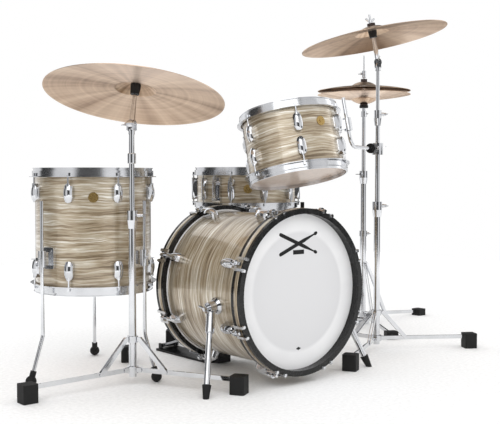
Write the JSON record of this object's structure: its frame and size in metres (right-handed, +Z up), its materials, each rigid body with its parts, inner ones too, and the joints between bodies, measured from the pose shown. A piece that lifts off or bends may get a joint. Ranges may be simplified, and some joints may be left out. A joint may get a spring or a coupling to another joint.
{
  "type": "acoustic drum kit",
  "caption": "Acoustic drum kit: bass drum with pedal, rack tom, floor tom, snare, hi-hat and suspended cymbals on flat-base stands.",
  "frame": {"origin": "middle of the kit's footprint, on the floor", "axes": "+X along the kit's width, towards the hi-hat; -Y towards the audience, +Y towards the drummer; +Z up"},
  "size_m": [2.078, 1.018, 1.1759],
  "materials": {
    "pearl_wrap": "oyster pearl wrap, glossy",
    "chrome": "polished",
    "black_hoop": "satin black lacquer with a pearl inlay band",
    "drum_head": "coated white film",
    "bronze": "lathed and hammered rose bronze",
    "footboard": "cast, satin",
    "black_metal": "black powder coat",
    "rubber": "matte black",
    "felt": "pressed felt",
    "badge_brass": "satin brass"
  },
  "bodies": {
    "root": {"bass_drum_shell": "pearl_wrap", "bass_drum_heads": "drum_head", "bass_drum_hoops": "black_hoop", "bass_drum_lugs": "chrome", "bass_drum_claws_and_rods": "chrome", "bass_drum_spur_brackets": "chrome", "pedal_frame": "black_metal", "floor_tom_shell": "pearl_wrap", "floor_tom_heads": "drum_head", "floor_tom_hoops": "chrome", "floor_tom_lugs": "chrome", "floor_tom_tension_rods": "chrome", "floor_tom_leg_brackets": "chrome", "left_stand_base": "chrome", "right_stand_base": "chrome", "snare_stand_tripod": "chrome", "hihat_frame": "chrome"},
    "left_spur": {"bass_drum_left_spur": "chrome"},
    "right_spur": {"bass_drum_right_spur": "chrome"},
    "pedal_beater": {"pedal_beater": "chrome"},
    "pedal_footboard": {"pedal_footboard": "footboard"},
    "floor_tom_leg_left": {"floor_tom_leg_left": "chrome"},
    "floor_tom_leg_right": {"floor_tom_leg_right": "chrome"},
    "floor_tom_leg_rear": {"floor_tom_leg_rear": "chrome"},
    "right_middle_tube": {"right_stand_middle_tube": "chrome"},
    "tom_clamp": {"tom_clamp": "chrome"},
    "tom_arm": {"tom_arm": "chrome"},
    "rack_tom": {"rack_tom_shell": "pearl_wrap", "rack_tom_heads": "drum_head", "rack_tom_hoops": "chrome", "rack_tom_lugs": "chrome", "rack_tom_tension_rods": "chrome", "rack_tom_bracket": "chrome"},
    "snare_post": {"snare_stand_post": "chrome"},
    "snare": {"snare_basket": "chrome", "snare_shell": "pearl_wrap", "snare_heads": "drum_head", "snare_hoops": "chrome", "snare_lugs": "chrome", "snare_tension_rods": "chrome", "snare_strainer": "chrome"},
    "strainer_lever": {"snare_strainer_lever": "chrome"},
    "left_upper_tube": {"left_stand_upper_tube": "chrome"},
    "left_tilter": {"left_tilter": "chrome"},
    "left_cymbal": {"left_cymbal": "bronze"},
    "right_upper_tube": {"right_stand_upper_tube": "chrome"},
    "right_tilter": {"right_tilter": "chrome"},
    "right_cymbal": {"right_cymbal": "bronze"},
    "hihat_collar": {"hihat_collar": "chrome"},
    "hihat_upper_tube": {"hihat_upper_tube": "chrome"},
    "hihat_bottom_cymbal": {"hihat_bottom_cymbal": "bronze"},
    "hihat_pull": {"hihat_pull_rod": "chrome", "hihat_top_cymbal": "bronze"},
    "hihat_footboard": {"hihat_footboard": "footboard"},
    "hihat_leg_right": {"hihat_leg_right": "chrome"},
    "hihat_brace_right": {"hihat_brace_right": "chrome"},
    "hihat_leg_rear": {"hihat_leg_rear": "chrome"},
    "hihat_brace_rear": {"hihat_brace_rear": "chrome"},
    "hihat_leg_front": {"hihat_leg_front": "chrome"},
    "hihat_brace_front": {"hihat_brace_front": "chrome"}
  },
  "joints": [
    {"name": "left_spur_fold", "type": "hinge", "parent": "root", "child": "left_spur", "pos_m": [-0.54211, -0.35333, 0.23664], "axis": [-0.9902, 0, -0.14], "range_deg": [0, 75]},
    {"name": "right_spur_fold", "type": "hinge", "parent": "root", "child": "right_spur", "pos_m": [-0.04189, -0.35333, 0.23664], "axis": [-0.9902, 0, 0.14], "range_deg": [0, 75]},
    {"name": "pedal_press", "type": "hinge", "parent": "root", "child": "pedal_footboard", "pos_m": [-0.292, 0.22167, 0.018], "axis": [1, 0, 0], "range_deg": [0, 11.5], "stiffness_Nm_per_rad": 20, "springref_deg": -6.88},
    {"name": "beater_swing", "type": "hinge", "parent": "root", "child": "pedal_beater", "pos_m": [-0.292, -0.04033, 0.165], "axis": [1, 0, 0], "range_deg": [0, 50]},
    {"name": "floor_tom_left_leg_height", "type": "slide", "parent": "root", "child": "floor_tom_leg_left", "axis": [0, 0, 1], "range_m": [0, 0.12]},
    {"name": "floor_tom_right_leg_height", "type": "slide", "parent": "root", "child": "floor_tom_leg_right", "axis": [0, 0, 1], "range_m": [0, 0.12]},
    {"name": "floor_tom_rear_leg_height", "type": "slide", "parent": "root", "child": "floor_tom_leg_rear", "axis": [0, 0, 1], "range_m": [0, 0.12]},
    {"name": "right_stand_middle_height", "type": "slide", "parent": "root", "child": "right_middle_tube", "axis": [0, 0, 1], "range_m": [-0.01, 0.1]},
    {"name": "tom_clamp_turn", "type": "hinge", "parent": "right_middle_tube", "child": "tom_clamp", "pos_m": [0.256, -0.26833, 0.709], "axis": [0, 0, 1], "range_deg": [-3, 12]},
    {"name": "tom_arm_turn", "type": "hinge", "parent": "tom_clamp", "child": "tom_arm", "pos_m": [0.21905, -0.28366, 0.709], "axis": [0.9237, 0.3831, 0], "range_deg": [-3, 6]},
    {"name": "rack_tom_swivel", "type": "hinge", "parent": "tom_arm", "child": "rack_tom", "pos_m": [0.02389, -0.35762, 0.73804], "axis": [0, 0.2334, 0.9724], "range_deg": [-5, 12]},
    {"name": "snare_stand_height", "type": "slide", "parent": "root", "child": "snare_post", "axis": [0, 0, 1], "range_m": [-0.03, 0.06]},
    {"name": "snare_basket_tilt", "type": "hinge", "parent": "snare_post", "child": "snare", "pos_m": [-0.018, 0.11967, 0.446], "axis": [1, 0, 0], "range_deg": [-6, 5]},
    {"name": "snare_strainer_throw", "type": "hinge", "parent": "snare", "child": "strainer_lever", "pos_m": [-0.20411, 0.0656, 0.5875], "axis": [-0.9603, -0.279, 0], "range_deg": [0, 45]},
    {"name": "left_stand_upper_height", "type": "slide", "parent": "root", "child": "left_upper_tube", "axis": [0, 0, 1], "range_m": [-0.08, 0.08]},
    {"name": "left_cymbal_tilt", "type": "hinge", "parent": "left_upper_tube", "child": "left_tilter", "pos_m": [-0.682, -0.15633, 0.765], "axis": [-0.5261, 0.8504, 0], "range_deg": [-14.7, 15]},
    {"name": "left_cymbal_spin", "type": "hinge", "parent": "left_tilter", "child": "left_cymbal", "pos_m": [-0.65404, -0.13903, 0.89077], "axis": [0.2151, 0.1331, 0.9675], "continuous": true},
    {"name": "right_stand_upper_height", "type": "slide", "parent": "right_middle_tube", "child": "right_upper_tube", "axis": [0, 0, 1], "range_m": [-0.08, 0.06]},
    {"name": "right_cymbal_tilt", "type": "hinge", "parent": "right_upper_tube", "child": "right_tilter", "pos_m": [0.256, -0.26833, 1.01], "axis": [-0.7596, -0.6503, 0], "range_deg": [-10.5, 15]},
    {"name": "right_cymbal_spin", "type": "hinge", "parent": "right_tilter", "child": "right_cymbal", "pos_m": [0.241, -0.25082, 1.13387], "axis": [-0.119, 0.139, 0.9831], "continuous": true},
    {"name": "hihat_tripod_fold", "type": "slide", "parent": "root", "child": "hihat_collar", "axis": [0, 0, 1], "range_m": [0, 0.1413]},
    {"name": "hihat_right_leg_fold", "type": "hinge", "parent": "root", "child": "hihat_leg_right", "pos_m": [0.681, 0.16767, 0.04], "axis": [0, -1, 0], "range_deg": [-0.1, 80.2]},
    {"name": "hihat_right_brace_fold", "type": "hinge", "parent": "hihat_collar", "child": "hihat_brace_right", "pos_m": [0.68, 0.16767, 0.25], "axis": [0, -1, 0], "range_deg": [-20.8, 0.1]},
    {"name": "hihat_rear_leg_fold", "type": "hinge", "parent": "root", "child": "hihat_leg_rear", "pos_m": [0.6435, 0.18932, 0.04], "axis": [0.866, 0.5, 0], "range_deg": [-0.1, 80.2]},
    {"name": "hihat_rear_brace_fold", "type": "hinge", "parent": "hihat_collar", "child": "hihat_brace_rear", "pos_m": [0.644, 0.18845, 0.25], "axis": [0.866, 0.5, 0], "range_deg": [-20.8, 0.1]},
    {"name": "hihat_front_leg_fold", "type": "hinge", "parent": "root", "child": "hihat_leg_front", "pos_m": [0.6435, 0.14602, 0.04], "axis": [-0.866, 0.5, 0], "range_deg": [-0.1, 80.2]},
    {"name": "hihat_front_brace_fold", "type": "hinge", "parent": "hihat_collar", "child": "hihat_brace_front", "pos_m": [0.644, 0.14688, 0.25], "axis": [-0.866, 0.5, 0], "range_deg": [-20.8, 0.1]},
    {"name": "hihat_height", "type": "slide", "parent": "root", "child": "hihat_upper_tube", "axis": [0, 0, 1], "range_m": [-0.04, 0.08]},
    {"name": "hihat_bottom_cymbal_spin", "type": "hinge", "parent": "hihat_upper_tube", "child": "hihat_bottom_cymbal", "pos_m": [0.656, 0.16767, 0.912], "axis": [0, 0, 1], "continuous": true},
    {"name": "hihat_press", "type": "hinge", "parent": "root", "child": "hihat_footboard", "pos_m": [0.311, 0.16767, 0.02], "axis": [0, 1, 0], "range_deg": [0, 2.4], "stiffness_Nm_per_rad": 60, "springref_deg": -12.61},
    {"name": "hihat_pull", "type": "slide", "parent": "hihat_upper_tube", "child": "hihat_pull", "axis": [0, 0, 1], "range_m": [-0.0121, 0]}
  ],
  "couplings": [
    {"joint": "beater_swing", "follows": "pedal_press", "ratio": 4.3},
    {"joint": "hihat_right_leg_fold", "follows": "hihat_tripod_fold", "rad_per_m": 9.8816},
    {"joint": "hihat_right_brace_fold", "follows": "hihat_tripod_fold", "rad_per_m": -2.5468},
    {"joint": "hihat_rear_leg_fold", "follows": "hihat_tripod_fold", "rad_per_m": 9.8816},
    {"joint": "hihat_rear_brace_fold", "follows": "hihat_tripod_fold", "rad_per_m": -2.5468},
    {"joint": "hihat_front_leg_fold", "follows": "hihat_tripod_fold", "rad_per_m": 9.8816},
    {"joint": "hihat_front_brace_fold", "follows": "hihat_tripod_fold", "rad_per_m": -2.5468},
    {"joint": "hihat_pull", "follows": "hihat_press", "m_per_rad": -0.2865}
  ]
}
